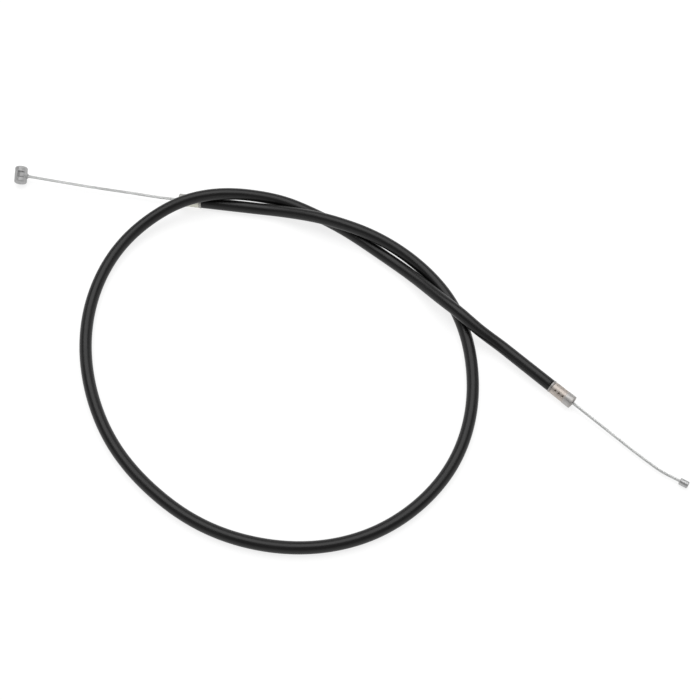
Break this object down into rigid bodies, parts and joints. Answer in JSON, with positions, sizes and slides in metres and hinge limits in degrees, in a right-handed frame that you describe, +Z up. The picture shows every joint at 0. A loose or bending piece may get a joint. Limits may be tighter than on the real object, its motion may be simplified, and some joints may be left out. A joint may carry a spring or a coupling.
{
  "type": "throttle cable",
  "caption": "Sheathed throttle cable lying in a loose loop: black casing with a plated ferrule at each end, a barrel nipple at the lever end and a small cylinder nipple at the carburettor end.",
  "frame": {"origin": "middle of the lying cable's footprint, on the surface it rests on", "axes": "+X along the cable's longest reach, from the barrel nipple's side to the cylinder nipple's side; +Y across it on the surface, away from the viewer; +Z up"},
  "size_m": [0.2788, 0.1759, 0.0108],
  "materials": {
    "jacket": "black PVC, satin",
    "conduit": "wound flat steel wire",
    "liner": "plain extruded plastic",
    "wire": "stranded steel, galvanised",
    "ferrule": "bright plating on pressed steel",
    "nipple": "as-cast zinc"
  },
  "bodies": {
    "casing": {"outer_jacket": "jacket", "conduit": "conduit", "liner": "liner", "inner_wire_run": "wire", "throttle_ferrule": "ferrule", "carburettor_ferrule": "ferrule"},
    "throttle_end": {"throttle_wire": "wire", "barrel_nipple": "nipple"},
    "carburettor_end": {"carburettor_wire": "wire", "cylinder_nipple": "nipple"}
  },
  "joints": [
    {"name": "throttle_wire_slide", "type": "slide", "parent": "casing", "child": "throttle_end", "axis": [-0.991, 0.134, 0], "range_m": [-0.005, 0.025]},
    {"name": "carburettor_wire_slide", "type": "slide", "parent": "casing", "child": "carburettor_end", "axis": [0.7424, -0.6685, -0.0436], "range_m": [-0.025, 0.005]}
  ],
  "couplings": [
    {"joint": "carburettor_wire_slide", "follows": "throttle_wire_slide", "ratio": -1}
  ]
}
